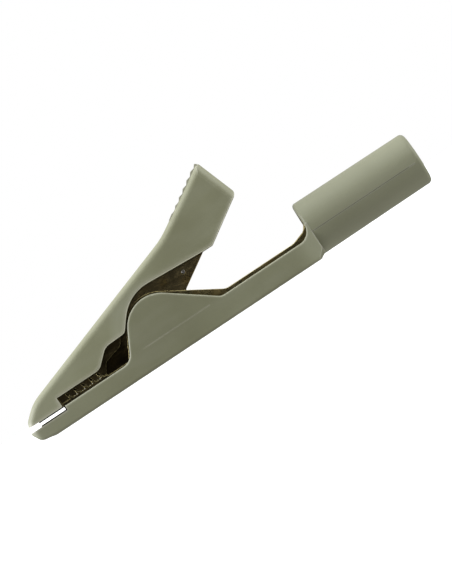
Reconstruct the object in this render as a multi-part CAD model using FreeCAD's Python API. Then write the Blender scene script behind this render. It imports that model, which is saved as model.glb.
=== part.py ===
import FreeCAD, Part
import math
import os

Vector = FreeCAD.Vector

# Insulated crocodile clip with a socket for a 4 mm banana plug.
# Units are millimetres. While the pieces are built, X is the distance from the tip of the jaws
# towards the plug socket, Y runs across the clip and Z is the height above its flat underside.
# On export everything is moved back by half the length, so the origin is under the middle.

# ---- driving dimensions --------------------------------------------------------------------

LENGTH = 76.0
FIT_GAP = 0.03              # between a moulding and the metal that it holds

# Mouldings
SHELL_HALF_WIDTH = 3.8      # flat sides, from the hinge back
NOSE_HALF_WIDTH = 2.2       # at the very tip
TAPER_END = 22.0            # where the nose reaches full width
SIDE_WALL = 0.85
FLOOR = 0.97                # lower moulding, under the metal
ROOF = 1.05                 # upper moulding, over the metal
ROOF_BEND = 8.0             # radius of the metal's bend under the back
RIM_ROUND = 0.28
UNDER_ROUND = 0.45          # along the lower moulding's underside
LIP_Z = 2.35                # top of the lower nose
LOWER_TIP_FLOOR_Z = 1.35    # floor of the lower nose's hollow, at its very front
RIM_Z = 3.14                # top of the lower moulding beside the teeth
STEP_X = 7.10               # where the lower moulding steps up behind the lips
ARM_Z = 3.90                # top of the arm

# Hinge
PIVOT_X = 26.88
PIVOT_Z = 5.12
EAR_RADIUS = 5.44
EAR_FRONT_SLOPE = 62.0      # degrees, slope of the ear's front edge
EAR_REAR_SLOPE = 36.9       # degrees, slope of its rear edge
RIVET_RADIUS = 0.90
RIVET_HEAD_RADIUS = 1.80
RIVET_HEAD_HEIGHT = 0.35
RIVET_HEAD_ROUND = 0.20
PIN_GAP = 0.01              # round the pin, in the lower jaw that it is set into
RUNNING_GAP = 0.05          # round the pin, in the upper jaw that turns on it

# Socket sleeve
SOCKET_Z = 5.10
SLEEVE_X = 54.8
SLEEVE_FRONT_RADIUS = 4.70
SLEEVE_REAR_RADIUS = 4.58
SLEEVE_FRONT_ROUND = 0.55
SLEEVE_REAR_ROUND = 0.80
SLEEVE_DOME = 0.10          # how far its end bulges past the rounding
SLEEVE_FLAT_RADIUS = 3.30   # of the flat face round the socket's mouth
MOUTH_DEPTH = 0.50          # funnel that leads the plug in
MOUTH_WIDEN = 0.55
FLARE_X = 52.0              # where the arm starts to widen into the sleeve
FLARE_END = 55.2
FLARE_ROUND = 8.0           # seen from above, where the straight sides turn outwards
FLARE_TOP_Z = 6.15          # how high the arm's end climbs the sleeve
FLARE_CONE_FRONT = 7.4      # radii of the cone that trims the flare's lower corners
FLARE_CONE_REAR = 5.9
SEAM_WIDTH = 0.08           # faint lines that the mould's halves leave
EAR_SEAM_DEPTH = 0.03
EAR_SEAM_Z = 3.73
EAR_SEAM_END = 35.2
SLEEVE_SEAM_DEPTH = 0.08
SLEEVE_SEAM_Z = 4.45
SLEEVE_SEAM_MARGIN = 1.2    # bare length between the seam and the sleeve's end

# Back of the upper moulding
NOSE_Z = 3.22               # underside of the upper nose
EDGE_Z = 4.85               # lower edge of the upper moulding over the teeth
UPPER_STEP_X = 6.65
BACK_SLOPE = 1.0 / 3.0      # rise per run of the long straight back
BACK_Z_AT_TIP = 5.35        # where that line would cross X = 0
THUMB_SLOPE = 0.637         # rise per run of the thumb pad
THUMB_Z_AT_TIP = -5.11
PAD_SINK_X = 42.1           # from here on the pad lies as deep as the valleys between its ribs
UNDER_SLOPE = 0.632         # the lever's underside
UNDER_Z_AT_TIP = -14.27
END_LEAN = 0.344            # run per drop of the lever's slanted end
BACK_ROUND = 1.15
END_TOP_X = 46.24           # a point of the slanted end
END_TOP_Z = 23.1
END_ROUND = 1.7             # seen from above
END_TOP_ROUND = 0.5         # in side view
END_LOW_ROUND = 0.9

# Ribs of the thumb pad
RIB_COUNT = 7
RIB_X = 38.1                # first crest
RIB_RUN = 1.24
RIB_TREAD = 0.80
RIB_DEPTH = 0.32
RIB_CREST_ROUND = 0.22
RIB_VALLEY_ROUND = 0.12
RIB_HALF_LENGTH = 3.15

# Sheet metal
SHEET = 0.50
METAL_X = 2.10              # front of both jaws
JAW_FLOOR = FLOOR + FIT_GAP
LOWER_LIP_Z = 2.56
UPPER_LIP_Z = 3.02
TEETH_FRONT = 6.85
TEETH_REAR = 15.40
BITE_Z = 3.65               # height at which the teeth meet on the clip's -Y side
BITE_STAGGER = 0.16         # the teeth meet this much lower on the +Y side
BITE_GAP = 0.06
GULLET_X = 8.40
GULLET_COUNT = 5
TOOTH_PITCH = 1.47
GULLET_WIDTH = 0.56
GULLET_HEIGHT = 1.05
GULLET_TOP_WIDTH = 0.26
GULLET_LEAN = 0.30
GULLET_ROUND = 0.06
GULLET_ROOT = 0.40          # how far a wedge reaches below the bite
WALL_FROM = 0.80            # each wedge spans one wall, from this far off the middle outwards
POINT_HEIGHT = 0.50         # of the lower jaw's teeth, above the bite
LOWER_EDGE_Z = 3.36         # top of the lower jaw beside the dark recess
LOWER_EAR_PROUD = 0.20      # metal showing past the ear's front edge
LOWER_SLOPE_PROUD = 0.25    # and past its rear edge, nearest to the hinge
LOWER_EAR_REAR_SLOPE = 31.4  # degrees; the metal falls less steeply than the moulding there
ARM_METAL_Z = 4.50
NEST_GAP = 0.10             # between the lower jaw's walls and the upper jaw nested in them
FRONT_CHANNEL_END = 21.2    # rear end of the upper jaw's wide front part
REAR_CHANNEL_START = 14.9   # front end of its narrow rear part, inside the wide one
UPPER_EAR_RADIUS = 3.30
NARROW_START = 18.0         # the upper moulding's hollow fits the narrow part closely from here on
FREE_EDGE_X = 33.5          # lowest corner of the upper jaw's edge behind the ears
FREE_EDGE_Z = 8.0
FREE_EDGE_SLOPE = 0.625
LEVER_METAL_END = 44.4
LOBE_RADIUS = 6.60          # the lower jaw's ears stay inside this circle about the hinge
LOBE_AHEAD = 4.0            # it trims them from this far ahead of the hinge
LOBE_BEHIND = 3.0           # to this far behind it
LOBE_GAP = 0.25

# Socket tube and the wings that hold it
TUBE_BORE = 2.00
TUBE_WALL = 0.40
TUBE_FRONT = 55.6
TUBE_REAR = 75.0
SLOT_WIDTH = 0.60
CRIMP_GAP = 0.02
WING_FRONT = 54.9
WING_REAR = 63.0
WING_JOIN = 55.6            # the arm's channel runs into the wings up to here
WING_OPEN_HALF_WIDTH = 1.3  # half the gap that the wings leave along the top

# Spring
WIRE_RADIUS = 0.30
COIL_RADIUS = 2.05          # to the middle of the wire
COIL_TURNS = 3              # full turns, before the part turn between the two legs
COIL_SHIFT = -0.12          # keeps the lever leg clear of the upper jaw's wall
COIL_PITCH = 0.66
SPOOL_RADIUS = 1.60
SPOOL_GAP = 0.05            # at each end of the spool
SPOOL_BORE_GAP = 0.02       # round the rivet's pin
LEG_GAP = 0.05              # under the leg that lies along the arm's floor
LEG_END_X = 38.0
HOOK_X = 34.6               # where the spring's lever leg is hooked through the upper jaw
HOOK_Z = 10.5
HOOK_HOLE_RADIUS = 0.36
HOOK_BEND = 0.45
HOOK_REACH = 2.50           # from the clip's middle plane to the end of the hook

# Widths that follow
LOWER_JAW_HALF = SHELL_HALF_WIDTH - SIDE_WALL - FIT_GAP
LOWER_JAW_INNER = LOWER_JAW_HALF - SHEET
UPPER_JAW_HALF = LOWER_JAW_INNER - NEST_GAP
UPPER_JAW_INNER = UPPER_JAW_HALF - SHEET
TUBE_OUTER = TUBE_BORE + TUBE_WALL
WING_OUTER = LOWER_JAW_HALF
WING_BOTTOM_Z = SOCKET_Z - WING_OUTER

# Cutting tools and blocks reach past the clip's own edges
AHEAD = -1.0
FAR = 60.0
WIDE = 6.0
LOW = -2.0
HIGH = 40.0


# ---- drawing helpers -----------------------------------------------------------------------

def side_point(x, z):
    return Vector(x, 0, z)


def plan_point(x, y):
    return Vector(x, y, 0)


def rounded_wire(corners, place):
    """Closed wire through (u, v) or (u, v, radius) corners, with tangent arcs at the radii."""
    points = [Vector(corner[0], corner[1], 0) for corner in corners]
    radii = [corner[2] if len(corner) == 3 else 0 for corner in corners]
    arcs = []
    for i, (point, radius) in enumerate(zip(points, radii)):
        back = (points[i - 1] - point).normalize()
        ahead = (points[(i + 1) % len(points)] - point).normalize()
        if radius == 0:
            arcs.append((point, None, point))
            continue
        half_angle = back.getAngle(ahead) / 2
        reach = radius / math.tan(half_angle)
        bisector = (back + ahead).normalize()
        middle = point + bisector * (radius / math.sin(half_angle) - radius)
        arcs.append((point + back * reach, middle, point + ahead * reach))
    edges = []
    for i, (start, middle, end) in enumerate(arcs):
        previous_end = arcs[i - 1][2]
        if previous_end.distanceToPoint(start) > 1e-6:
            edges.append(Part.makeLine(place(previous_end.x, previous_end.y), place(start.x, start.y)))
        if middle is not None:
            ends = [place(p.x, p.y) for p in (start, middle, end)]
            edges.append(Part.Arc(*ends).toShape())
    return Part.Wire(Part.__sortEdges__(edges))


def side_slab(corners, y_low=-WIDE, y_high=WIDE):
    """Solid with the given outline in side view, between two Y positions."""
    face = Part.Face(rounded_wire(corners, side_point))
    face.translate(Vector(0, y_low, 0))
    return face.extrude(Vector(0, y_high - y_low, 0))


def plan_slab(corners):
    """Solid with the given outline seen from above, as tall as the clip and more."""
    face = Part.Face(rounded_wire(corners, plan_point))
    face.translate(Vector(0, 0, LOW))
    return face.extrude(Vector(0, 0, HIGH - LOW))


def mirrored_plan(half):
    """Closed plan outline from the corners of its +Y half, listed from the tip backwards."""
    return [(x, -y, r) for x, y, r in half] + [(x, y, r) for x, y, r in reversed(half)]


def disc(radius, y_low=-WIDE, y_high=WIDE, x=PIVOT_X, z=PIVOT_Z):
    """Round piece across the clip, by default on the hinge axis."""
    return Part.makeCylinder(radius, y_high - y_low, Vector(x, y_low, z), Vector(0, 1, 0))


def along_x(radius, x_low, x_high):
    """Round bar on the socket's axis."""
    return Part.makeCylinder(radius, x_high - x_low, Vector(x_low, 0, SOCKET_Z), Vector(1, 0, 0))


def cone_along_x(first_radius, last_radius, x_low, x_high):
    """Cone on the socket's axis."""
    front = Vector(x_low, 0, SOCKET_Z)
    return Part.makeCone(first_radius, last_radius, x_high - x_low, front, Vector(1, 0, 0))


def block(x_low, x_high, y_low=-WIDE, y_high=WIDE, z_low=LOW, z_high=HIGH):
    size = (x_high - x_low, y_high - y_low, z_high - z_low)
    return Part.makeBox(*size, Vector(x_low, y_low, z_low))


def fillet_near(shape, radius, places):
    """Rounds the edge nearest to each (x, y, z), with the edges that run smoothly on from it."""
    chosen = []
    for place in places:
        target = Vector(*place)

        def distance(edge):
            middle = edge.valueAt((edge.FirstParameter + edge.LastParameter) / 2)
            return middle.distanceToPoint(target)

        chosen.append(min(shape.Edges, key=distance))
    return shape.makeFillet(radius, chosen)


def back_z(x):
    return BACK_Z_AT_TIP + BACK_SLOPE * x


def thumb_z(x):
    return THUMB_Z_AT_TIP + THUMB_SLOPE * x


def end_x(z):
    """The slanted end of the lever."""
    return END_TOP_X + (END_TOP_Z - z) * END_LEAN


def bite_z(side):
    return BITE_Z if side < 0 else BITE_Z - BITE_STAGGER


def crossing(height_a, slope_a, height_b, slope_b):
    """X and Z where two lines, given by height at X = 0 and slope, cross."""
    x = (height_b - height_a) / (slope_a - slope_b)
    return x, height_a + slope_a * x


def shell_plan(inset, rear):
    """Plan outline of both noses and the straight sides, moved inwards by inset."""
    half = [
        (inset, NOSE_HALF_WIDTH - inset, max(1.6 - inset, 0.4)),
        (TAPER_END, SHELL_HALF_WIDTH - inset, 60.0),
        (rear, SHELL_HALF_WIDTH - inset, 0),
    ]
    return mirrored_plan(half)


def ear_edge(proud_front, proud_rear, rear_slope, low_front, low_rear):
    """Foot, apex and foot of the lines along an ear's front and rear edges, down to the levels given."""
    front = math.radians(EAR_FRONT_SLOPE)
    rear = math.radians(rear_slope)
    front_x = PIVOT_X - (EAR_RADIUS + proud_front) / math.sin(front)
    rear_x = PIVOT_X + (EAR_RADIUS + proud_rear) / math.sin(rear)
    front_foot = front_x + (low_front - PIVOT_Z) / math.tan(front)
    rear_foot = rear_x - (low_rear - PIVOT_Z) / math.tan(rear)
    apex_x = (rear_x * math.tan(rear) + front_x * math.tan(front)) / (math.tan(rear) + math.tan(front))
    apex_z = PIVOT_Z + (apex_x - front_x) * math.tan(front)
    return front_foot, (apex_x, apex_z), rear_foot


# ---- lower moulding ------------------------------------------------------------------------

def sleeve_body():
    """Round sleeve round the plug socket, slightly tapered, with a faintly domed end."""
    corners = [
        (SLEEVE_X, 0),
        (SLEEVE_X, SLEEVE_FRONT_RADIUS, SLEEVE_FRONT_ROUND),
        (LENGTH - SLEEVE_DOME, SLEEVE_REAR_RADIUS, SLEEVE_REAR_ROUND),
        (LENGTH, SLEEVE_FLAT_RADIUS),
        (LENGTH, 0),
    ]
    face = Part.Face(rounded_wire(corners, side_point))
    sleeve = face.revolve(Vector(0, 0, 0), Vector(1, 0, 0), 360)
    sleeve.translate(Vector(0, 0, SOCKET_Z))
    core = cone_along_x(SLEEVE_FRONT_RADIUS - SLEEVE_SEAM_DEPTH, SLEEVE_REAR_RADIUS - SLEEVE_SEAM_DEPTH,
                        SLEEVE_X, LENGTH - SLEEVE_DOME)
    seam_top = SLEEVE_SEAM_Z + SEAM_WIDTH
    seam = block(FLARE_END, LENGTH - SLEEVE_SEAM_MARGIN, z_low=SLEEVE_SEAM_Z, z_high=seam_top)
    return sleeve.cut(seam.cut(core))


def lower_shell_under_outline():
    """The underside in side view, closed well above the rim."""
    return [
        (0, HIGH),
        (0, 2.05, 0.5),
        (0.95, 0.46, 1.3),
        (3.5, 0, 6.0),
        (FLARE_END - 1.1, 0),
        (FLARE_END, 0.56),
        (FLARE_END, HIGH),
    ]


def lower_shell_rim_outline():
    """Nose, step, ear, arm and the rise to the sleeve in side view, closed well below."""
    front_foot, apex, rear_foot = ear_edge(0, 0, EAR_REAR_SLOPE, RIM_Z, ARM_Z)
    return [
        (AHEAD, LOW),
        (SLEEVE_X + 1.0, LOW),
        (SLEEVE_X + 1.0, FLARE_TOP_Z),
        (SLEEVE_X - 0.02, FLARE_TOP_Z),
        (SLEEVE_X - 0.02, ARM_Z, 2.2),
        (rear_foot, ARM_Z, 1.6),
        (*apex, EAR_RADIUS),
        (front_foot, RIM_Z, 2.2),
        (STEP_X, RIM_Z),
        (STEP_X, LIP_Z),
        (AHEAD, LIP_Z),
    ]


def lower_shell():
    half = [
        (0, NOSE_HALF_WIDTH, 1.6),
        (TAPER_END, SHELL_HALF_WIDTH, 60.0),
        (FLARE_X, SHELL_HALF_WIDTH, FLARE_ROUND),
        (FLARE_END, SLEEVE_FRONT_RADIUS, 0),
    ]
    body = side_slab(lower_shell_under_outline()).common(plan_slab(mirrored_plan(half)))
    body = fillet_near(body, UNDER_ROUND, [(38.0, SHELL_HALF_WIDTH, 0), (38.0, -SHELL_HALF_WIDTH, 0)])
    cone = cone_along_x(FLARE_CONE_FRONT, FLARE_CONE_REAR, FLARE_X, FLARE_END)
    body = body.common(block(AHEAD, FLARE_X).fuse(cone))
    body = body.common(side_slab(lower_shell_rim_outline())).removeSplitter()
    body = fillet_near(body, RIM_ROUND, [(44.8, SHELL_HALF_WIDTH, ARM_Z), (44.8, -SHELL_HALF_WIDTH, ARM_Z)])
    seam_y = SHELL_HALF_WIDTH - EAR_SEAM_DEPTH
    for side in (-1, 1):
        y_low, y_high = sorted((side * seam_y, side * WIDE))
        body = body.cut(block(TAPER_END, EAR_SEAM_END, y_low, y_high, EAR_SEAM_Z, EAR_SEAM_Z + SEAM_WIDTH))
    body = body.fuse(sleeve_body()).removeSplitter()
    return body.cut(lower_shell_hollow()).removeSplitter()


def lower_shell_hollow():
    """Trough for the lower jaw, pockets for the rivet's heads, and the hole through the sleeve."""
    wing_room = WING_OUTER + FIT_GAP
    trough_end = WING_FRONT + 0.8
    front_face = SLEEVE_X - 0.1
    outline = [
        (METAL_X - FIT_GAP, LOWER_TIP_FLOOR_Z - FIT_GAP),
        (4.8, FLOOR, 3.0),
        (50.5, FLOOR, 2.0),
        (54.4, SOCKET_Z - wing_room, 2.0),
        (trough_end, SOCKET_Z - wing_room),
        (trough_end, SOCKET_Z + 2.0),
        (front_face, SOCKET_Z + 2.0),
        (front_face, HIGH),
        (METAL_X - FIT_GAP, HIGH),
    ]
    trough = side_slab(outline).common(plan_slab(shell_plan(SIDE_WALL, FAR)))
    wings = along_x(wing_room, front_face, WING_REAR + FIT_GAP)
    tube = along_x(TUBE_OUTER + FIT_GAP, SLEEVE_X, LENGTH + 1)
    mouth = cone_along_x(TUBE_OUTER + FIT_GAP, TUBE_OUTER + MOUTH_WIDEN, LENGTH - MOUTH_DEPTH, LENGTH)
    pocket_y = LOWER_JAW_HALF + RIVET_HEAD_HEIGHT + FIT_GAP
    pockets = disc(RIVET_HEAD_RADIUS + RUNNING_GAP * 2, -pocket_y, pocket_y)
    return trough.fuse([wings, tube, mouth, pockets])


# ---- upper moulding ------------------------------------------------------------------------

def upper_shell_back_outline():
    """Nose, back and thumb pad in side view, closed well below the lever."""
    bend = crossing(BACK_Z_AT_TIP, BACK_SLOPE, THUMB_Z_AT_TIP, THUMB_SLOPE)
    end = crossing(THUMB_Z_AT_TIP - RIB_DEPTH, THUMB_SLOPE, END_TOP_Z + END_TOP_X / END_LEAN, -1 / END_LEAN)
    return [
        (0.28, LOW),
        (0.28, 3.32),
        (0.58, 4.15, 1.5),
        (2.84, 6.28, 8.0),
        (*bend, 14.0),
        (PAD_SINK_X, thumb_z(PAD_SINK_X) - RIB_DEPTH, 30.0),
        (*end, END_TOP_ROUND),
        (end_x(LOW), LOW),
    ]


def upper_shell_under_outline():
    """Underside of the nose, the edge over the teeth, the ear arch and the lever in side view."""
    end = crossing(UNDER_Z_AT_TIP, UNDER_SLOPE, END_TOP_Z + END_TOP_X / END_LEAN, -1 / END_LEAN)
    clear = 0.01
    return [
        (AHEAD, 3.32),
        (AHEAD, HIGH),
        (end_x(HIGH) + clear, HIGH),
        (end[0] + clear, end[1], END_LOW_ROUND),
        (40.85, 11.45, 0.4),
        (39.0, 11.45, 0.6),
        (25.36, 12.33, 6.85),
        (21.45, 7.50, 1.0),
        (17.6, 7.35, 2.2),
        (14.9, EDGE_Z, 2.0),
        (UPPER_STEP_X, EDGE_Z),
        (UPPER_STEP_X, NOSE_Z),
        (1.9, NOSE_Z, 0.6),
    ]


def lever_end_slab():
    """Block with the lever's rounded end seen from above, leaning forwards with its end face."""
    clear = 0.02
    height = HIGH - LOW
    half = [
        (-FAR, SHELL_HALF_WIDTH + clear, 0),
        (end_x(LOW) + clear, SHELL_HALF_WIDTH + clear, END_ROUND),
    ]
    face = Part.Face(rounded_wire(mirrored_plan(half), plan_point))
    face.translate(Vector(0, 0, LOW))
    return face.extrude(Vector(-END_LEAN * height, 0, height))


def ribs():
    """Stair-like ribs across the thumb pad, in one piece with a root sunk into it."""
    root_front = RIB_X - 1.2
    ramp_start = RIB_X - 0.9
    last_crest = RIB_X + (RIB_COUNT - 1) * RIB_RUN
    root_rear = last_crest + 0.35
    corners = [(root_front, thumb_z(root_front) - 1.2), (ramp_start, thumb_z(ramp_start) - 0.05)]
    for i in range(RIB_COUNT):
        crest = RIB_X + i * RIB_RUN
        valley = crest + RIB_TREAD
        corners.append((crest, thumb_z(crest), RIB_CREST_ROUND))
        if i < RIB_COUNT - 1:
            corners.append((valley, thumb_z(valley) - RIB_DEPTH, RIB_VALLEY_ROUND))
    corners.append((root_rear, thumb_z(last_crest) - 0.3))
    corners.append((root_rear, thumb_z(last_crest) - 1.6))
    return side_slab(corners, -RIB_HALF_LENGTH, RIB_HALF_LENGTH)


def upper_shell():
    plan = plan_slab(shell_plan(0, FAR))
    body = side_slab(upper_shell_back_outline()).common(plan).removeSplitter()
    back = (28.4, SHELL_HALF_WIDTH, back_z(28.4))
    body = fillet_near(body, BACK_ROUND, [back, (back[0], -back[1], back[2])])
    body = body.common(lever_end_slab())
    body = body.common(side_slab(upper_shell_under_outline())).removeSplitter()
    rim = (32.0, SHELL_HALF_WIDTH, 11.95)
    body = fillet_near(body, RIM_ROUND, [rim, (rim[0], -rim[1], rim[2])])
    body = body.fuse(ribs()).removeSplitter()
    return body.cut(upper_shell_hollow()).removeSplitter()


def roof_line(depth):
    """Corners of a line that runs at the given depth under the back and the thumb pad."""
    back_drop = depth * math.hypot(1, BACK_SLOPE)
    thumb_drop = (depth + RIB_DEPTH) * math.hypot(1, THUMB_SLOPE)
    bend = crossing(BACK_Z_AT_TIP - back_drop, BACK_SLOPE, THUMB_Z_AT_TIP - thumb_drop, THUMB_SLOPE)
    front = (METAL_X, back_z(METAL_X) - back_drop)
    rear = (LEVER_METAL_END, thumb_z(LEVER_METAL_END) - thumb_drop)
    return front, bend, rear


def upper_shell_hollow():
    """Space for the upper jaw, and for the lower jaw's ears as the lever swings round them."""
    front, bend, rear = roof_line(ROOF)
    front_x = METAL_X - FIT_GAP
    rear_x = LEVER_METAL_END + FIT_GAP
    corners = [(front_x, front[1]), (*bend, ROOF_BEND), (rear_x, rear[1]), (rear_x, LOW), (front_x, LOW)]
    wide = side_slab(corners).common(plan_slab(shell_plan(SIDE_WALL, FAR))).common(block(AHEAD, TAPER_END))
    narrow_half = UPPER_JAW_HALF + FIT_GAP
    narrow = side_slab(corners, -narrow_half, narrow_half).common(block(NARROW_START, FAR))
    swing_half = LOWER_JAW_HALF + FIT_GAP
    swing = disc(LOBE_RADIUS + LOBE_GAP, -swing_half, swing_half)
    return wide.fuse([narrow, swing])


# ---- jaws ----------------------------------------------------------------------------------

def leaning_teeth(side, height, shrink):
    """Leaning wedges along one wall, shrunk all round. The two walls are staggered by half a pitch."""
    shift = TOOTH_PITCH / 2 if side > 0 else 0.0
    lean = GULLET_LEAN * height / GULLET_HEIGHT
    base = bite_z(side)
    y_low, y_high = sorted((side * WALL_FROM, side * WIDE))
    wedges = []
    for i in range(GULLET_COUNT):
        front = GULLET_X + shift + i * TOOTH_PITCH + shrink
        rear = front + GULLET_WIDTH - 2 * shrink
        top_rear = front - lean + GULLET_TOP_WIDTH - 2 * shrink
        corners = [
            (front, base - GULLET_ROOT),
            (front, base),
            (front - lean, base + height, GULLET_ROUND),
            (top_rear, base + height, GULLET_ROUND),
            (rear, base),
            (rear, base - GULLET_ROOT),
        ]
        wedges.append(side_slab(corners, y_low, y_high))
    return wedges


def sheet_plans():
    """Blocks with the plan of the outer and the inner face of both jaws' walls."""
    inset = SIDE_WALL + FIT_GAP
    return plan_slab(shell_plan(inset, FAR)), plan_slab(shell_plan(inset + SHEET, FAR))


def both_halves(outline_of_side):
    """Block across the clip from a side outline that differs between its -Y and +Y halves."""
    halves = []
    for side in (-1, 1):
        y_low, y_high = sorted((0, side * WIDE))
        halves.append(side_slab(outline_of_side(side), y_low, y_high))
    return halves[0].fuse(halves[1])


def lower_jaw_outline(side):
    """Lips, teeth, ear, arm and the rise to the wings in side view."""
    front_foot, apex, rear_foot = ear_edge(LOWER_EAR_PROUD, LOWER_SLOPE_PROUD, LOWER_EAR_REAR_SLOPE,
                                           LOWER_EDGE_Z, ARM_METAL_Z)
    teeth_z = bite_z(side) - BITE_GAP / 2
    return [
        (METAL_X, LOWER_TIP_FLOOR_Z),
        (4.8, JAW_FLOOR, 3.0),
        (50.5, JAW_FLOOR, 2.0),
        (54.4, WING_BOTTOM_Z, 2.0),
        (WING_JOIN, WING_BOTTOM_Z),
        (WING_JOIN, SOCKET_Z + 1.2),
        (SLEEVE_X + 0.1, SOCKET_Z + 1.2),
        (54.2, 5.30, 1.2),
        (51.8, ARM_METAL_Z, 3.0),
        (rear_foot, ARM_METAL_Z, 2.0),
        (*apex, EAR_RADIUS),
        (front_foot, LOWER_EDGE_Z, 0.8),
        (TEETH_REAR + 0.1, LOWER_EDGE_Z),
        (TEETH_REAR, teeth_z),
        (TEETH_FRONT, teeth_z),
        (TEETH_FRONT, LOWER_LIP_Z),
        (METAL_X, LOWER_LIP_Z),
    ]


def lower_jaw_inside():
    """Open channel behind the lips and the pocket between them."""
    channel_front = METAL_X + 5.0
    channel = [
        (channel_front, JAW_FLOOR + SHEET),
        (50.5, JAW_FLOOR + SHEET, 2.0),
        (54.4, WING_BOTTOM_Z + SHEET, 2.0),
        (WING_JOIN, WING_BOTTOM_Z + SHEET),
        (WING_JOIN, HIGH),
        (channel_front, HIGH),
    ]
    pocket_top = LOWER_LIP_Z - SHEET
    lip_pocket = block(METAL_X + SHEET, channel_front + 1.0, z_low=JAW_FLOOR + SHEET, z_high=pocket_top)
    return side_slab(channel).fuse(lip_pocket)


def lower_jaw():
    """Bent channel with teeth and hinge ears, whose rear end wraps the socket tube."""
    outer, inner = sheet_plans()
    ears = block(AHEAD, PIVOT_X - LOBE_AHEAD).fuse([block(PIVOT_X + LOBE_BEHIND, FAR), disc(LOBE_RADIUS)])
    solid = both_halves(lower_jaw_outline).common(outer).common(ears)
    jaw = solid.cut(lower_jaw_inside().common(inner))
    jaw = jaw.fuse(crimp_wings())
    for side in (-1, 1):
        points = leaning_teeth(side, POINT_HEIGHT, BITE_GAP)
        jaw = jaw.fuse([point.common(outer).cut(inner) for point in points])
    return jaw.cut(disc(RIVET_RADIUS + PIN_GAP)).removeSplitter()


def crimp_wings():
    """Open ring of sheet metal that wraps the front of the socket tube."""
    ring = along_x(WING_OUTER, WING_FRONT, WING_REAR)
    ring = ring.cut(along_x(TUBE_OUTER + CRIMP_GAP, WING_FRONT - 1, WING_REAR + 1))
    gap = block(WING_FRONT - 1, WING_REAR + 1, -WING_OPEN_HALF_WIDTH, WING_OPEN_HALF_WIDTH, SOCKET_Z)
    return ring.cut(gap)


def upper_jaw():
    """Front channel with the teeth, as wide as the lower jaw, joined to a narrower rear channel."""
    jaw = upper_front_channel().fuse([upper_rear_channel(), joggle()])
    for side in (-1, 1):
        jaw = jaw.cut(leaning_teeth(side, GULLET_HEIGHT, 0.0))
    jaw = jaw.cut(disc(RIVET_RADIUS + RUNNING_GAP))
    hook_hole = disc(HOOK_HOLE_RADIUS, -WIDE, 0, HOOK_X, HOOK_Z)
    return jaw.cut(hook_hole).removeSplitter()


def parallel_to_back(start, x):
    """Corner at x on a line through the start that runs parallel to the back."""
    return x, start[1] + (x - start[0]) * BACK_SLOPE


def upper_front_outline(side):
    """Lips, teeth and the edge over the dark recess in side view."""
    top = roof_line(ROOF + FIT_GAP)[0]
    teeth_z = bite_z(side) + BITE_GAP / 2
    return [
        (METAL_X, UPPER_LIP_Z),
        (TEETH_FRONT, UPPER_LIP_Z),
        (TEETH_FRONT, teeth_z),
        (TEETH_REAR, teeth_z),
        (16.4, 5.3, 1.0),
        (19.7, 6.2, 1.2),
        (FRONT_CHANNEL_END, 8.2),
        parallel_to_back(top, FRONT_CHANNEL_END),
        top,
    ]


def upper_front_channel():
    web = roof_line(ROOF + FIT_GAP + SHEET)[0]
    pocket_end = TEETH_FRONT + 0.1
    under_web = [
        (TEETH_FRONT, LOW),
        (FAR, LOW),
        parallel_to_back(web, FAR),
        parallel_to_back(web, TEETH_FRONT),
    ]
    lip_pocket = [
        (METAL_X + SHEET, UPPER_LIP_Z + SHEET),
        (pocket_end, UPPER_LIP_Z + SHEET),
        parallel_to_back(web, pocket_end),
        parallel_to_back(web, METAL_X + SHEET),
    ]
    outer, inner = sheet_plans()
    solid = both_halves(upper_front_outline).common(outer)
    hollow = side_slab(under_web).fuse(side_slab(lip_pocket)).common(inner)
    return solid.cut(hollow).cut(disc(LOBE_RADIUS + LOBE_GAP))


def nested_plans():
    """Blocks with the plan of the rear channel's outer and inner faces, inside the lower jaw."""
    inset = SIDE_WALL + FIT_GAP + SHEET + NEST_GAP
    return plan_slab(shell_plan(inset, FAR)), plan_slab(shell_plan(inset + SHEET, FAR))


def upper_rear_channel():
    top, bend, rear = roof_line(ROOF + FIT_GAP)
    web, web_bend, web_rear = roof_line(ROOF + FIT_GAP + SHEET)
    lever_edge_z = FREE_EDGE_Z + (LEVER_METAL_END - FREE_EDGE_X) * FREE_EDGE_SLOPE
    ear_bottom = PIVOT_Z - UPPER_EAR_RADIUS
    edge = [
        parallel_to_back(top, REAR_CHANNEL_START),
        (REAR_CHANNEL_START, 2.7),
        (PIVOT_X - 1.2, ear_bottom, 3.0),
        (PIVOT_X + 2.6, ear_bottom + 0.6, 2.6),
        (FREE_EDGE_X, FREE_EDGE_Z, 0.5),
        (LEVER_METAL_END, lever_edge_z, 0.5),
        rear,
        (*bend, ROOF_BEND),
    ]
    open_front = REAR_CHANNEL_START - 1
    open_rear = LEVER_METAL_END + 1
    inside = [
        parallel_to_back(web, open_front),
        (open_front, LOW),
        (open_rear, LOW),
        (open_rear, web_rear[1] + THUMB_SLOPE),
        (*web_bend, ROOF_BEND),
    ]
    outer, inner = nested_plans()
    return side_slab(edge).common(outer).cut(side_slab(inside).common(inner))


def joggle():
    """Offset bend that steps each wall of the upper jaw inwards, just above the dark recess."""
    corners = [
        (15.0, 4.6),
        (16.2, 5.8, 1.0),
        (19.4, 6.7, 1.0),
        (20.2, 7.6),
        (15.0, 7.0),
    ]
    outer = sheet_plans()[0]
    inner = nested_plans()[1]
    return side_slab(corners).common(outer).cut(inner)


# ---- hinge, spring and socket --------------------------------------------------------------

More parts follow.
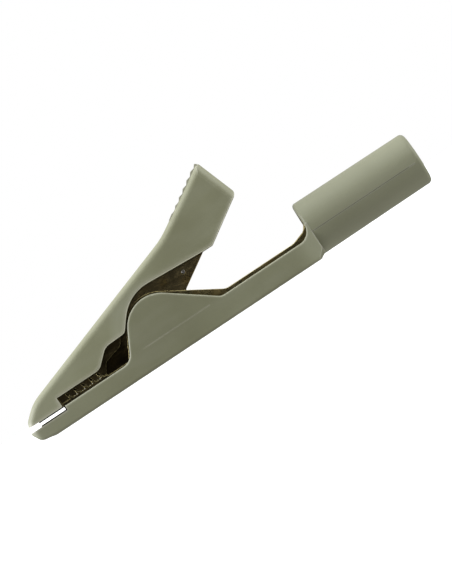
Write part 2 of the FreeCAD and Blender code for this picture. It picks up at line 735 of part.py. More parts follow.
def hinge_rivet():
    pin = disc(RIVET_RADIUS, -LOWER_JAW_HALF, LOWER_JAW_HALF)
    heads = []
    for side in (-1, 1):
        base = Vector(PIVOT_X, side * LOWER_JAW_HALF, PIVOT_Z)
        head = Part.makeCylinder(RIVET_HEAD_RADIUS, RIVET_HEAD_HEIGHT, base, Vector(0, side, 0))
        outer_y = side * (LOWER_JAW_HALF + RIVET_HEAD_HEIGHT)
        heads.append(fillet_near(head, RIVET_HEAD_ROUND, [(PIVOT_X - RIVET_HEAD_RADIUS, outer_y, PIVOT_Z)]))
    return pin.fuse(heads).removeSplitter()


def spring_spool():
    half = UPPER_JAW_INNER - SPOOL_GAP
    return disc(SPOOL_RADIUS, -half, half).cut(disc(RIVET_RADIUS + SPOOL_BORE_GAP))


def tangent_angle(x, z, side):
    """Angle round the coil, in radians, at which a leg towards (x, z) leaves it."""
    run, rise = x - PIVOT_X, z - PIVOT_Z
    return math.atan2(rise, run) + side * math.acos(COIL_RADIUS / math.hypot(run, rise))


def sweep_wire(edges):
    """Round spring wire along a path."""
    path = Part.Wire(edges)
    first = path.OrderedEdges[0]
    start = path.OrderedVertexes[0].Point
    direction = first.tangentAt(first.getParameterByLength(0.0))
    ring = Part.Wire(Part.makeCircle(WIRE_RADIUS, start, direction))
    return path.makePipeShell([ring], True, True)


def torsion_spring():
    """Coil on the spool, one leg along the arm's floor, the other hooked through the upper jaw."""
    floor_z = JAW_FLOOR + SHEET + WIRE_RADIUS + LEG_GAP
    start_angle = tangent_angle(LEG_END_X, floor_z, -1)
    end_angle = tangent_angle(HOOK_X, HOOK_Z, 1)
    turns = COIL_TURNS + (start_angle - end_angle) / (2 * math.pi) + 1
    height = turns * COIL_PITCH
    helix = Part.makeHelix(COIL_PITCH, height, COIL_RADIUS)
    helix.rotate(Vector(0, 0, 0), Vector(1, 0, 0), -90)
    helix.rotate(Vector(0, 0, 0), Vector(0, 1, 0), -math.degrees(start_angle))
    helix.translate(Vector(PIVOT_X, COIL_SHIFT - height / 2, PIVOT_Z))
    coil_edge = helix.Edges[0]
    coil = sweep_wire([coil_edge])
    start = coil_edge.valueAt(coil_edge.FirstParameter)
    start_way = coil_edge.tangentAt(coil_edge.FirstParameter)
    end = coil_edge.valueAt(coil_edge.LastParameter)
    end_way = coil_edge.tangentAt(coil_edge.LastParameter)
    floor_leg_length = (LEG_END_X - start.x) / -start_way.x
    floor_leg = Part.makeCylinder(WIRE_RADIUS, floor_leg_length, start, start_way * -1)
    hook_way = Vector(0, 1, 0)
    knee = end + end_way * ((HOOK_X - end.x) / end_way.x)
    bend_in = knee - end_way * HOOK_BEND
    bend_out = knee + hook_way * HOOK_BEND
    centre = bend_in + bend_out - knee
    bend_middle = centre + (knee - centre).normalize() * HOOK_BEND
    tip = Vector(knee.x, HOOK_REACH, knee.z)
    hook = [
        Part.makeLine(end, bend_in),
        Part.Arc(bend_in, bend_middle, bend_out).toShape(),
        Part.makeLine(bend_out, tip),
    ]
    spring = coil.fuse([floor_leg, sweep_wire(hook)]).removeSplitter()
    return spring.mirror(Vector(0, 0, 0), Vector(0, 1, 0))


def socket_tube():
    tube = along_x(TUBE_OUTER, TUBE_FRONT, TUBE_REAR).cut(along_x(TUBE_BORE, TUBE_FRONT - 1, TUBE_REAR + 1))
    slot = block(TUBE_FRONT - 1, TUBE_REAR + 1, -SLOT_WIDTH / 2, SLOT_WIDTH / 2, SOCKET_Z)
    return tube.cut(slot)


# ---- export --------------------------------------------------------------------------------

PIECES = {
    "lower_shell": lower_shell,
    "upper_shell": upper_shell,
    "lower_jaw": lower_jaw,
    "upper_jaw": upper_jaw,
    "hinge_rivet": hinge_rivet,
    "spring_spool": spring_spool,
    "torsion_spring": torsion_spring,
    "socket_tube": socket_tube,
}

os.makedirs("parts", exist_ok=True)
for name, build in PIECES.items():
    shape = build()
    shape.translate(Vector(-LENGTH / 2, 0, 0))
    shape.exportStep(f"parts/{name}.step")
    box = shape.BoundBox
    print(f"{name}: {len(shape.Solids)} solid, {shape.Volume:.2f} mm3, valid {shape.isValid()}")
    print(f"    x {box.XMin:.2f} to {box.XMax:.2f}, y {box.YMin:.2f} to {box.YMax:.2f},"
          f" z {box.ZMin:.2f} to {box.ZMax:.2f}")
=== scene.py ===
import bpy
import math
from mathutils import Matrix, Vector
from typing import NamedTuple


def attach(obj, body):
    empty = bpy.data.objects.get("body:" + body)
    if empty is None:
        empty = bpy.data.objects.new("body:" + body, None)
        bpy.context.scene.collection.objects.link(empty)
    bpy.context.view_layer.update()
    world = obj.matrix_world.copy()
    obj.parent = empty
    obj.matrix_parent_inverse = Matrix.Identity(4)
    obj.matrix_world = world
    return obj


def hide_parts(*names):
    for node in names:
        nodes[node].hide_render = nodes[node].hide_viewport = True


# An insulated crocodile clip, seen square on from its side and tilted in the picture.
# It lies along X with its nose at the low end, its lever is up, and Y goes across it.
# Lengths are in metres, except where a comment says mm.

MM = 0.001
CLIP_LENGTH = 76.0                 # mm; the origin is under the middle of this length


def from_tip(distance):
    """X in mm of a place this far behind the nose's tip."""
    return distance - CLIP_LENGTH / 2


PIVOT_X = from_tip(26.88)          # mm
PIVOT_Z = 5.12                     # mm

# Places along the clip
NOSE_TIP_X = -37.0 * MM            # 1 mm behind the very tip
LAST_TEETH_X = -24.0 * MM
RIM_FADE_X = 12.0 * MM             # the paler rims and edges, partly wear and partly painted highlight, fade out from here to the sleeve
FLARE_X = 14.0 * MM                # where the arm starts to widen into the sleeve
SLEEVE_X = 16.8 * MM
ARCH_HIGHLIGHT_RADIUS = 7.2 * MM            # from the hinge to where the painted highlight on the arch starts to fade
ARCH_HIGHLIGHT_END_RADIUS = 8.6 * MM

# Painted shade: a dark line painted along the groove that the mould's halves leave on the sleeve
SEAM_START_X = 17.4 * MM
SEAM_END_X = 35.8 * MM
SEAM_Z = 4.49 * MM
SEAM_HALF_WIDTH = 0.05 * MM
SEAM_EDGE_WIDTH = 0.06 * MM        # over which the line fades out sideways
SEAM_END_LENGTH = 0.6 * MM         # over which it fades out at each end

# Camera
VIEW_ROLL = math.radians(33.6)     # the clip's length climbs at this angle in the picture
VIEW_DISTANCE = 0.60
VIEW_HEIGHT = 93.44 * MM           # height of the picture at the clip
AIM_X = 0.5 * MM
AIM_Z = 4.04 * MM
SENSOR_HEIGHT = 24.0               # mm
NEAR_LIMIT = 0.01

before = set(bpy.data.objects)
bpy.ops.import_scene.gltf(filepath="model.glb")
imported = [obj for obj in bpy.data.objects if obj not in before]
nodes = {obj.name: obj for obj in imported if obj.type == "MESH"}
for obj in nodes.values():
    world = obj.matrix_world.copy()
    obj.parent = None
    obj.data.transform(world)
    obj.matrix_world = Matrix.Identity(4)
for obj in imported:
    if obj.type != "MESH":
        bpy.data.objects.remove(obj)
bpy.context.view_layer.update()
scene = bpy.context.scene


# ---- node helpers ----

def connect(tree, socket, value):
    """Links an output to the socket, or gives the socket a plain value."""
    if isinstance(value, bpy.types.NodeSocket):
        tree.links.new(value, socket)
    else:
        socket.default_value = value


def add_node(tree, kind, inputs=None, **settings):
    """Adds a shader node, sets its properties and its input values or links."""
    made = tree.nodes.new(kind)
    for name, value in settings.items():
        setattr(made, name, value)
    for socket, value in (inputs or {}).items():
        connect(tree, made.inputs[socket], value)
    return made


def coordinates(tree, output):
    """A point's place ("Object") or surface direction ("Normal") in the piece's own axes.
    In the world's shader, "Generated" is the way that a ray goes."""
    return tree.nodes.new("ShaderNodeTexCoord").outputs[output]


def split(tree, output):
    """The "X", "Y" and "Z" of a place or direction."""
    return add_node(tree, "ShaderNodeSeparateXYZ", {"Vector": coordinates(tree, output)}).outputs


def noise(tree, place, scale, detail, stretch=(1.0, 1.0, 1.0)):
    """Noise with features about 1 / scale metres across, drawn out along axes where stretch is small."""
    scaled = add_node(tree, "ShaderNodeMapping", {"Vector": place, "Scale": stretch})
    inputs = {"Vector": scaled.outputs[0], "Scale": scale, "Detail": detail}
    return add_node(tree, "ShaderNodeTexNoise", inputs).outputs["Fac"]


def remap(tree, value, low, high, out_low=0.0, out_high=1.0):
    """Turns the range from low to high into out_low to out_high, and stops at both ends."""
    inputs = {"Value": value, "From Min": low, "From Max": high, "To Min": out_low, "To Max": out_high}
    return add_node(tree, "ShaderNodeMapRange", inputs).outputs[0]


def maths(tree, operation, first, second=0.0):
    return add_node(tree, "ShaderNodeMath", {0: first, 1: second}, operation=operation).outputs[0]


def product(tree, first, *others):
    result = first
    for factor in others:
        result = maths(tree, "MULTIPLY", result, factor)
    return result


def vector_maths(tree, operation, first, second=(0.0, 0.0, 0.0)):
    return add_node(tree, "ShaderNodeVectorMath", {0: first, 1: second}, operation=operation).outputs


def mix_colour(tree, share, first, second):
    """The first colour at share 0 and the second at share 1. These are the sockets for colours."""
    made = add_node(tree, "ShaderNodeMix", {0: share, 6: first, 7: second}, data_type="RGBA")
    return made.outputs[2]


def layered(tree, base, layers):
    """The base colour with each (share, colour) laid over it in turn."""
    for share, colour in layers:
        base = mix_colour(tree, share, base, colour)
    return base


def bump(tree, height, distance, normal=None):
    inputs = {"Height": height, "Distance": distance, "Strength": 1.0}
    if normal is not None:
        inputs["Normal"] = normal
    return add_node(tree, "ShaderNodeBump", inputs).outputs[0]


def openness(tree, reach, samples, inside=False):
    """1 where nothing lies within reach of the surface, and less in corners and recesses.
    Looking inside, it is less where another of the piece's own surfaces is near, as beside an edge."""
    made = add_node(tree, "ShaderNodeAmbientOcclusion", {"Distance": reach}, samples=samples, inside=inside)
    return made.outputs["AO"]


def rounded_normal(tree, radius, samples=6):
    """Surface direction as if sharp edges were rounded."""
    return add_node(tree, "ShaderNodeBevel", {"Radius": radius}, samples=samples).outputs[0]


def new_material(name):
    """A material with its node tree and its shader."""
    material = bpy.data.materials.new(name)
    material.use_nodes = True
    tree = material.node_tree
    return material, tree, tree.nodes["Principled BSDF"]


def tinted(colour, factor):
    """Opaque colour made lighter or darker."""
    return tuple(min(1.0, value * factor) for value in colour[:3]) + (1.0,)


# ---- masks, from 0 where something doesn't show to 1 where it shows fully ----

def edge_mask(tree, rounded):
    """1 on edges and 0 on flat stretches, from the rounded surface direction."""
    normal = tree.nodes.new("ShaderNodeNewGeometry").outputs["Normal"]
    agreement = vector_maths(tree, "DOT_PRODUCT", rounded, normal)["Value"]
    return remap(tree, agreement, 0.999, 0.95)


def before_sleeve(tree):
    """1 on the arm and ahead of it, and 0 on the sleeve."""
    return remap(tree, split(tree, "Object")["X"], RIM_FADE_X, SLEEVE_X, 1.0, 0.0)


def rim_mask(tree, facing, elsewhere):
    """1 on the rounded rims beside the flat sides that face up (facing 1) or down (facing -1).
    The other rims have the value elsewhere, and the sides, the tops and the sleeve have 0."""
    normal = split(tree, "Normal")
    sideways = maths(tree, "ABSOLUTE", normal["Y"])  # 1 on the flat sides and 0 on the tops
    off_side = remap(tree, sideways, 0.97, 0.82)
    off_top = remap(tree, sideways, 0.15, 0.45)
    right_way = remap(tree, product(tree, normal["Z"], facing), -0.1, 0.15, elsewhere, 1.0)
    return product(tree, off_side, off_top, right_way, before_sleeve(tree))


def thin_mask(tree, reach, lowest):
    """1 beside an outer edge, fading out as far from it as reach.
    Below the lowest height and on the sleeve it is 0."""
    fade = 0.3 * MM
    near_edge = remap(tree, openness(tree, reach, samples=6, inside=True), 0.92, 0.60)
    high = remap(tree, split(tree, "Object")["Z"], lowest, lowest + fade)
    return product(tree, near_edge, high, before_sleeve(tree))


def seam_mask(tree):
    """1 along the middle of the seam on the sleeve, where shade is painted in the groove."""
    place = split(tree, "Object")
    off_seam = maths(tree, "ABSOLUTE", maths(tree, "SUBTRACT", place["Z"], SEAM_Z))
    across = remap(tree, off_seam, SEAM_HALF_WIDTH, SEAM_HALF_WIDTH + SEAM_EDGE_WIDTH, 1.0, 0.0)
    after_start = remap(tree, place["X"], SEAM_START_X, SEAM_START_X + SEAM_END_LENGTH)
    before_end = remap(tree, place["X"], SEAM_END_X - SEAM_END_LENGTH, SEAM_END_X, 1.0, 0.0)
    return product(tree, across, after_start, before_end)


def nose_and_sleeve_light_mask(tree):
    """How much painted light makes the nose and the sleeve paler."""
    along = split(tree, "Object")["X"]
    nose = remap(tree, along, LAST_TEETH_X, NOSE_TIP_X, 0.0, 0.30)
    sleeve = remap(tree, along, FLARE_X, SLEEVE_X, 0.0, 0.28)
    return maths(tree, "MAXIMUM", nose, sleeve)


def arch_highlight_mask(tree):
    """1 round the hinge, out to the arch of the upper moulding that swings past the lower one, where a
    highlight is painted.
    """
    pivot = (PIVOT_X * MM, 0.0, PIVOT_Z * MM)
    from_pivot = vector_maths(tree, "SUBTRACT", coordinates(tree, "Object"), pivot)["Vector"]
    seen_from_side = vector_maths(tree, "MULTIPLY", from_pivot, (1.0, 0.0, 1.0))["Vector"]
    distance = vector_maths(tree, "LENGTH", seen_from_side)["Value"]
    return remap(tree, distance, ARCH_HIGHLIGHT_RADIUS, ARCH_HIGHLIGHT_END_RADIUS, 1.0, 0.0)


def jaw_shade_mask(tree, jaw_shade, jaw_shade_end):
    """Painted shade at the jaws, lighter on the teeth and towards the outer faces of the walls."""
    fade = 3.5 * MM
    teeth_fade = 2.0 * MM
    wall_inside = 2.2 * MM  # from the clip's middle plane
    wall_outside = 2.5 * MM
    place = split(tree, "Object")
    at_jaws = remap(tree, place["X"], jaw_shade_end - fade, jaw_shade_end, jaw_shade, 0.0)
    off_teeth = remap(tree, place["X"], LAST_TEETH_X, LAST_TEETH_X + teeth_fade, 0.62, 1.0)
    from_middle = maths(tree, "ABSOLUTE", place["Y"])
    off_outside = remap(tree, from_middle, wall_inside, wall_outside, 1.0, 0.85)
    return product(tree, at_jaws, off_teeth, off_outside)


# ---- plastic ----

class WearAndHighlights(NamedTuple):
    """Where a moulding is made paler: on the edges, partly wear and partly painted highlight, and with
    painted highlights on the rims and the arch. The strengths go from 0 to 1.
    """
    rims_face: float     # 1 if the rims that face up get the painted highlight most, and -1 if those that face down do
    rims: float          # strength of the painted highlight on those rims
    other_rims: float    # strength on the other rims, as a share of theirs
    reach: float         # how far the paler band beside an edge, partly wear and partly painted highlight, goes in
    arch: float          # strength of the painted highlight on the arch over the hinge


PLASTIC_COLOURS = {
    "dark": (0.222, 0.222, 0.130),
    "pale": (0.262, 0.264, 0.160),
    "flow_mark": (0.295, 0.297, 0.200),
    "pit": (0.160, 0.155, 0.105),
    # painted light: paler plastic for the nose and the sleeve, and a painted highlight on the arch
    "painted_light": (0.325, 0.330, 0.235),
    # paler edges: partly wear, partly painted highlight
    "worn_and_highlit_edge": (0.50, 0.49, 0.38),
    # painted highlight on the rounded rims, pale enough to stand out where little light reaches them
    "painted_rim_highlight": (0.78, 0.77, 0.60),
    # painted shade in the seam's groove
    "seam": (0.115, 0.110, 0.070),
}
# Painted shade: a dark colour laid over the plastic in corners and recesses, where shade falls
CORNER_SHADE = (0.085, 0.075, 0.045, 1.0)

CLOUD_SCALE = 90.0                 # per metre, as are the other scales
FLOW_SCALE = 500.0
GRAIN_SCALE = 9000.0
GRAIN_DEPTH = 0.012 * MM
WAVE_SCALE = 420.0
WAVE_DEPTH = 0.03 * MM
PLASTIC_EDGE = 0.24 * MM           # rounding radius that finds the sharp edges for the paler wear and painted highlight
CORNER_SHADE_REACH = 1.2 * MM             # how far from a corner the painted shade reaches
PALE_EDGES_FROM_Z = 1.2 * MM           # no paler band beside the edges below this height


def pale_edge_layers(tree, colours, wear_and_highlights, flow):
    """Paler plastic on sharp edges and beside the outer edges, partly wear and partly painted highlight,
    and a painted highlight on the rounded rims.
    """
    uneven = remap(tree, flow, 0.3, 0.7, 0.6, 1.0)
    sharp_edges = product(tree, edge_mask(tree, rounded_normal(tree, PLASTIC_EDGE)), uneven)
    beside_edges = product(tree, thin_mask(tree, wear_and_highlights.reach, PALE_EDGES_FROM_Z), 0.45)
    # painted highlight on the rims
    rims = product(tree, rim_mask(tree, wear_and_highlights.rims_face, wear_and_highlights.other_rims), uneven, wear_and_highlights.rims)
    return [
        (sharp_edges, colours["worn_and_highlit_edge"]),
        (beside_edges, colours["worn_and_highlit_edge"]),
        (rims, colours["painted_rim_highlight"]),
    ]


def moulded_plastic(name, shade, wear_and_highlights):
    """Olive-grey moulding: spark-eroded grain and faint flow marks; paler edges, partly wear and partly
    painted highlight; painted shade in corners; painted light on the nose, the sleeve and the arch.
    """
    material, tree, shader = new_material(name)
    place = coordinates(tree, "Object")
    clouds = noise(tree, place, CLOUD_SCALE, detail=4.0)
    flow = noise(tree, place, FLOW_SCALE, detail=3.0, stretch=(0.2, 1.0, 1.0))
    grain = noise(tree, place, GRAIN_SCALE, detail=2.0)
    waves = noise(tree, place, WAVE_SCALE, detail=2.0)
    # the shade factor is painted light: each colour is made lighter or darker for how light falls on the
    # moulding
    colours = {part: tinted(colour, shade) for part, colour in PLASTIC_COLOURS.items()}

    # painted light on the nose and the sleeve, and a painted highlight on the arch over the hinge
    painted_light = maths(tree, "MAXIMUM", nose_and_sleeve_light_mask(tree), product(tree, arch_highlight_mask(tree), wear_and_highlights.arch))
    layers = [
        (remap(tree, clouds, 0.35, 0.65), colours["pale"]),
        (remap(tree, flow, 0.45, 0.75, 0.0, 0.35), colours["flow_mark"]),
        (remap(tree, grain, 0.30, 0.70, 0.0, 0.22), colours["pit"]),
        (painted_light, colours["painted_light"]),
        # painted shade in corners and recesses, strongest where the surface is most closed in
        (remap(tree, openness(tree, CORNER_SHADE_REACH, samples=4), 0.15, 0.5, 0.5, 0.0), CORNER_SHADE),
    ]
    layers += pale_edge_layers(tree, colours, wear_and_highlights, flow)
    # painted shade along the seam's groove
    layers.append((product(tree, seam_mask(tree), 0.45), colours["seam"]))

    tree.links.new(layered(tree, colours["dark"], layers), shader.inputs["Base Color"])
    tree.links.new(remap(tree, flow, 0.3, 0.7, 0.40, 0.56), shader.inputs["Roughness"])
    shader.inputs["Specular IOR Level"].default_value = 0.4
    relief = bump(tree, grain, GRAIN_DEPTH, bump(tree, waves, WAVE_DEPTH))
    tree.links.new(relief, shader.inputs["Normal"])
    return material


# ---- metal ----

class Metal(NamedTuple):
    """How a plated sheet, turned piece or wire looks."""
    clean: tuple                     # colour of the bare plating
    tarnish: tuple                   # colour of the tarnished plating
    roughness: float
    lines: tuple = (0.08, 1.0, 1.0)  # its drawing lines run along the axis with the small value
    recess: float = 0.0              # how strongly shade is painted where it lies deep inside
    jaw_shade: float = 0.0                # how strongly shade is painted at the jaws
    jaw_shade_end: float = 0.0            # the X where the painted shade at the jaws has faded out


NO_LINES = (1.0, 1.0, 1.0)
LINE_SCALE = 5200.0                # per metre, as are the other scales
LINE_DEPTH = 0.006 * MM
TARNISH_SCALE = 420.0
DENT_SCALE = 700.0
DENT_DEPTH = 0.06 * MM
METAL_EDGE = 0.16 * MM             # rounding radius for the edge normals and for finding the edges that are painted brighter
RECESS_REACH = 2.5 * MM            # metal with walls within this reach counts as deep inside


def worked_metal(name, metal):
    """Plated metal with drawing lines and cloudy tarnish, painted shade in recesses and at the jaws, and
    brighter edges that are partly wear and partly painted highlight.
    """
    material, tree, shader = new_material(name)
    place = coordinates(tree, "Object")
    lines = noise(tree, place, LINE_SCALE, detail=3.0, stretch=metal.lines)
    clouds = noise(tree, place, TARNISH_SCALE, detail=2.0)
    dents = noise(tree, place, DENT_SCALE, detail=2.0, stretch=(0.6, 1.0, 1.0))
    rounded = rounded_normal(tree, METAL_EDGE)

    layers = [
        (remap(tree, clouds, 0.42, 0.62, 0.0, 0.85), metal.tarnish),
        (remap(tree, lines, 0.35, 0.70, 0.0, 0.35), metal.tarnish),
    ]
    if metal.recess > 0.0:
        # painted shade deep inside, where the walls close in
        open_air = openness(tree, RECESS_REACH, samples=8)
        recess_shade = remap(tree, open_air, 0.45, 0.80, metal.recess, 0.0)
        layers.append((recess_shade, tinted(metal.tarnish, 0.12)))
    # painted shade at the jaws, where the walls lie in the dark inside the mouldings
    if metal.jaw_shade > 0.0:
        layers.append((jaw_shade_mask(tree, metal.jaw_shade, metal.jaw_shade_end), tinted(metal.tarnish, 0.15)))
    # brighter edges: partly wear, partly painted highlight
    layers.append((product(tree, edge_mask(tree, rounded), 0.35), tinted(metal.clean, 1.35)))

    tree.links.new(layered(tree, metal.clean, layers), shader.inputs["Base Color"])
    shader.inputs["Metallic"].default_value = 1.0
    smoothest = metal.roughness - 0.07
    roughest = metal.roughness + 0.13
    tree.links.new(remap(tree, clouds, 0.3, 0.7, smoothest, roughest), shader.inputs["Roughness"])
    relief = bump(tree, lines, LINE_DEPTH, bump(tree, dents, DENT_DEPTH, rounded))
    tree.links.new(relief, shader.inputs["Normal"])
    return material


# ---- which node has which material ----

LOWER_WEAR_AND_HIGHLIGHTS = WearAndHighlights(rims_face=1.0, rims=0.30, other_rims=0.0, reach=0.42 * MM, arch=0.0)
UPPER_WEAR_AND_HIGHLIGHTS = WearAndHighlights(rims_face=-1.0, rims=0.95, other_rims=0.08, reach=0.75 * MM, arch=0.45)
LOWER_SHEET = Metal(
    clean=(0.63, 0.54, 0.26, 1.0), tarnish=(0.38, 0.29, 0.12, 1.0), roughness=0.22,
    recess=0.75, jaw_shade=0.8, jaw_shade_end=-9.5 * MM)
UPPER_SHEET = Metal(
    clean=(0.80, 0.65, 0.33, 1.0), tarnish=(0.24, 0.17, 0.06, 1.0), roughness=0.16,
    recess=0.35, jaw_shade=0.91, jaw_shade_end=-14.5 * MM)
TURNED_STEEL = Metal(
    clean=(0.55, 0.53, 0.48, 1.0), tarnish=(0.30, 0.27, 0.22, 1.0), roughness=0.28, lines=NO_LINES)
SPRING_STEEL = Metal(
    clean=(0.50, 0.48, 0.44, 1.0), tarnish=(0.25, 0.22, 0.18, 1.0), roughness=0.26, lines=NO_LINES)
PLATED_BRASS = Metal(
    clean=(0.66, 0.61, 0.48, 1.0), tarnish=(0.42, 0.34, 0.19, 1.0), roughness=0.22)

wire_metal = worked_metal("spring_wire", SPRING_STEEL)
rivet_metal = worked_metal("plated_rivet", TURNED_STEEL)
node_materials = {
    # The shade factor is painted light: the same plastic is made lighter on the upper moulding and darker
    # on the lower one, for how light falls on them
    "lower_shell": moulded_plastic("olive_plastic_lower", 0.89, LOWER_WEAR_AND_HIGHLIGHTS),
    "upper_shell": moulded_plastic("olive_plastic_upper", 1.01, UPPER_WEAR_AND_HIGHLIGHTS),
    "lower_jaw": worked_metal("plated_sheet_lower", LOWER_SHEET),
    "upper_jaw": worked_metal("plated_sheet_upper", UPPER_SHEET),
    "hinge_rivet": rivet_metal,
    "spring_spool": rivet_metal,
    "socket_tube": worked_metal("plated_brass", PLATED_BRASS),
}
for name, material in node_materials.items():
    mesh = nodes[name].data
    mesh.materials.clear()
    mesh.materials.append(material)


# ---- spring, in two pieces so that each end keeps to its own jaw; its sizes are in mm ----

WIRE_RADIUS = 0.30
COIL_RADIUS = 2.05                 # to the middle of the wire
COIL_START_Y = 1.249
COIL_PITCH = 0.66
FULL_TURNS = 3                     # before the part turn between the two legs
FLOOR_LEG_END = (from_tip(38.0), 1.85)  # X and Z
HOOK = (from_tip(34.6), 10.5)      # X and Z
HOOK_END_Y = -2.5
KNEE_RADIUS = 0.45                 # where the leg bends across into the hook
KNEE_STEPS = 8
STEPS_PER_TURN = 48
SPLIT_TURN = 2.0                   # turns that stay with the lower jaw
OVERLAP = 0.1                      # both pieces cover this share of a turn, so that no gap opens


def leg_angle(end, side):
    """Angle round the coil at which a straight leg to the end leaves it, on side 1 or -1 of the coil."""
    run, rise = end[0] - PIVOT_X, end[1] - PIVOT_Z
    return math.atan2(rise, run) + side * math.acos(COIL_RADIUS / math.hypot(run, rise))


COIL_START = leg_angle(FLOOR_LEG_END, -1)
PART_TURN = 1 + (COIL_START - leg_angle(HOOK, 1)) / (2 * math.pi)  # from one leg round to the other
COIL_TURNS = FULL_TURNS + PART_TURN


def coil_point(turn):
    """Middle of the wire after this many turns from the leg on the floor."""
    angle = COIL_START - 2 * math.pi * turn
    return Vector((PIVOT_X + COIL_RADIUS * math.cos(angle), COIL_START_Y - COIL_PITCH * turn,
                   PIVOT_Z + COIL_RADIUS * math.sin(angle)))


def coil_stretch(first, last):
    """Points along the coil from one turn to another."""
    steps = round((last - first) * STEPS_PER_TURN)
    return [coil_point(first + (last - first) * step / steps) for step in range(steps + 1)]


def floor_leg_and_coil():
    start = coil_point(0.0)
    end = Vector((FLOOR_LEG_END[0], start.y, FLOOR_LEG_END[1]))
    return [end] + coil_stretch(0.0, SPLIT_TURN)


def coil_and_hook():
    """Rest of the coil, the leg up to the lever and the hook through its hole, with a rounded knee."""
    stretch = coil_stretch(SPLIT_TURN - OVERLAP, COIL_TURNS)
    knee = Vector((HOOK[0], stretch[-1].y, HOOK[1]))
    way = (knee - stretch[-1]).normalized()
    across = Vector((0, -1, 0))
    centre = knee - way * KNEE_RADIUS + across * KNEE_RADIUS
    arc = []
    for step in range(KNEE_STEPS + 1):
        angle = math.pi / 2 * step / KNEE_STEPS
        outwards = way * math.sin(angle) - across * math.cos(angle)
        arc.append(centre + outwards * KNEE_RADIUS)
    return stretch + arc + [Vector((knee.x, HOOK_END_Y, knee.z))]


def wire_mesh(name, points):
    """Round wire through the points."""
    curve = bpy.data.curves.new(name, "CURVE")
    curve.dimensions = "3D"
    curve.bevel_depth = WIRE_RADIUS * MM
    curve.bevel_resolution = 4
    curve.use_fill_caps = True
    spline = curve.splines.new("POLY")
    spline.points.add(len(points) - 1)
    for target, point in zip(spline.points, points):
        target.co = (*(point * MM), 1.0)
    drawn = bpy.data.objects.new(name + "_line", curve)
    scene.collection.objects.link(drawn)
    bpy.context.view_layer.update()
    mesh = bpy.data.meshes.new_from_object(drawn)
    bpy.data.objects.remove(drawn)
    mesh.name = name
    return mesh


def wire_piece(name, points, body):
    """Wire through the points that rides on a body and stands for the CAD spring."""
    mesh = wire_mesh(name, points)
    mesh.materials.clear()
    mesh.materials.append(wire_metal)
    mesh.shade_smooth()
    piece = bpy.data.objects.new(name, mesh)
    scene.collection.objects.link(piece)
    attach(piece, body)
    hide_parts("torsion_spring")


wire_piece("spring_coil_and_floor_leg", floor_leg_and_coil(), "base")
wire_piece("spring_coil_and_hook", coil_and_hook(), "lever")


# ---- floor, light and camera ----

FLOOR_REACH = 4.0
FLOOR_GAP = 0.02 * MM              # under the clip
STRIP_HEIGHT = 0.20                # upward part of the direction to the mirrored strip
WHITE = (1.0, 1.0, 1.0, 1.0)


def pale_floor():
    """White paper that takes the clip's shadow. Light reaches the clip from below as on a light table."""
    mesh = bpy.data.meshes.new("floor")
    corners = [(x * FLOOR_REACH, y * FLOOR_REACH, 0) for x, y in ((-1, -1), (1, -1), (1, 1), (-1, 1))]
    mesh.from_pydata(corners, [], [(0, 1, 2, 3)])
    floor = bpy.data.objects.new("floor", mesh)
    floor.location.z = -FLOOR_GAP
    floor.visible_diffuse = False
    floor.visible_glossy = False
    floor.visible_shadow = False
    scene.collection.objects.link(floor)
    material, _, shader = new_material("pale_paper")
    shader.inputs["Base Color"].default_value = (0.90, 0.90, 0.90, 1.0)
    shader.inputs["Roughness"].default_value = 1.0
    shader.inputs["Specular IOR Level"].default_value = 0.0
    mesh.materials.append(material)


def room_light(tree, way):
    """Light from this way on dull surfaces: dim from the camera's side and a little less from below."""
    front = remap(tree, way["Y"], -1.0, 0.0, 0.29, 1.15)
    below = remap(tree, way["Z"], -0.6, 0.2, 0.85, 1.0)
    return product(tree, front, below)


def mirrored_room(tree, way):
    """What shiny surfaces mirror: a bright ceiling, dim walls and a bright strip above the horizon."""
    ceiling = remap(tree, way["Z"], 0.2, 0.9, 0.0, 0.95)
    walls = remap(tree, way["Y"], -1.0, 0.2, 0.03, 0.30)
    from_strip = maths(tree, "ABSOLUTE", maths(tree, "SUBTRACT", way["Z"], STRIP_HEIGHT))
    strip = remap(tree, from_strip, 0.03, 0.09, 0.55, 0.0)
    return maths(tree, "ADD", maths(tree, "ADD", ceiling, walls), strip)


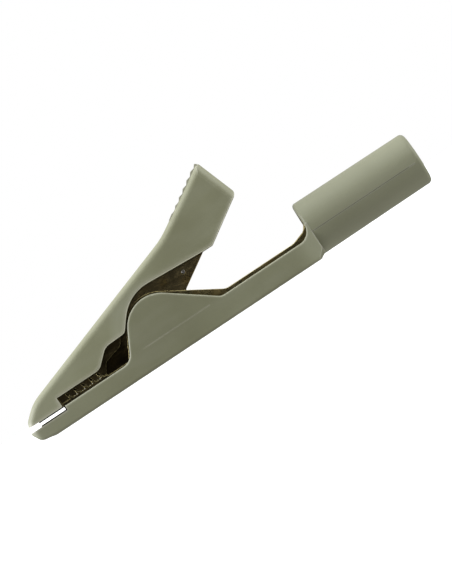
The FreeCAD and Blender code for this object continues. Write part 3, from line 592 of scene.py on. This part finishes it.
def surroundings():
    """White where the camera sees it. To everything else it gives a studio's light and reflections."""
    world = bpy.data.worlds.new("studio")
    scene.world = world
    world.use_nodes = True
    tree = world.node_tree
    ray = tree.nodes.new("ShaderNodeLightPath")
    way = split(tree, "Generated")
    lit = room_light(tree, way)
    unseen = mix_colour(tree, ray.outputs["Is Glossy Ray"], lit, mirrored_room(tree, way))
    colour = mix_colour(tree, ray.outputs["Is Camera Ray"], unseen, WHITE)
    tree.links.new(colour, tree.nodes["Background"].inputs["Color"])


def sun(name, comes_from, strength, spread, colour):
    """Soft light from a direction, spread over this many degrees."""
    data = bpy.data.lights.new(name, "SUN")
    data.energy = strength
    data.angle = math.radians(spread)
    data.color = colour
    light = bpy.data.objects.new(name, data)
    light.rotation_euler = Vector(comes_from).to_track_quat("Z", "Y").to_euler()
    scene.collection.objects.link(light)


def photo_camera():
    """Looks along +Y at the clip's side, turned so that the clip climbs to the right."""
    data = bpy.data.cameras.new("camera")
    data.sensor_fit = "VERTICAL"
    data.sensor_height = SENSOR_HEIGHT
    data.lens = SENSOR_HEIGHT * VIEW_DISTANCE / VIEW_HEIGHT
    data.clip_start = NEAR_LIMIT
    camera = bpy.data.objects.new("camera", data)
    right = Vector((math.cos(VIEW_ROLL), 0.0, -math.sin(VIEW_ROLL)))
    up = Vector((math.sin(VIEW_ROLL), 0.0, math.cos(VIEW_ROLL)))
    back = right.cross(up)
    turn = Matrix((right, up, back)).transposed().to_4x4()
    camera.matrix_world = Matrix.Translation((AIM_X, -VIEW_DISTANCE, AIM_Z)) @ turn
    scene.collection.objects.link(camera)
    scene.camera = camera


pale_floor()
surroundings()
sun("key", comes_from=(0.1, -0.25, 1.0), strength=0.8, spread=60.0, colour=(0.92, 1.0, 1.08))
sun("left", comes_from=(-0.95, -0.09, 0.42), strength=3.45, spread=45.0, colour=(0.97, 1.0, 1.10))
sun("right", comes_from=(1.0, -0.10, 0.45), strength=1.3, spread=45.0, colour=(0.97, 1.0, 1.0))
photo_camera()
scene.view_settings.view_transform = "Standard"
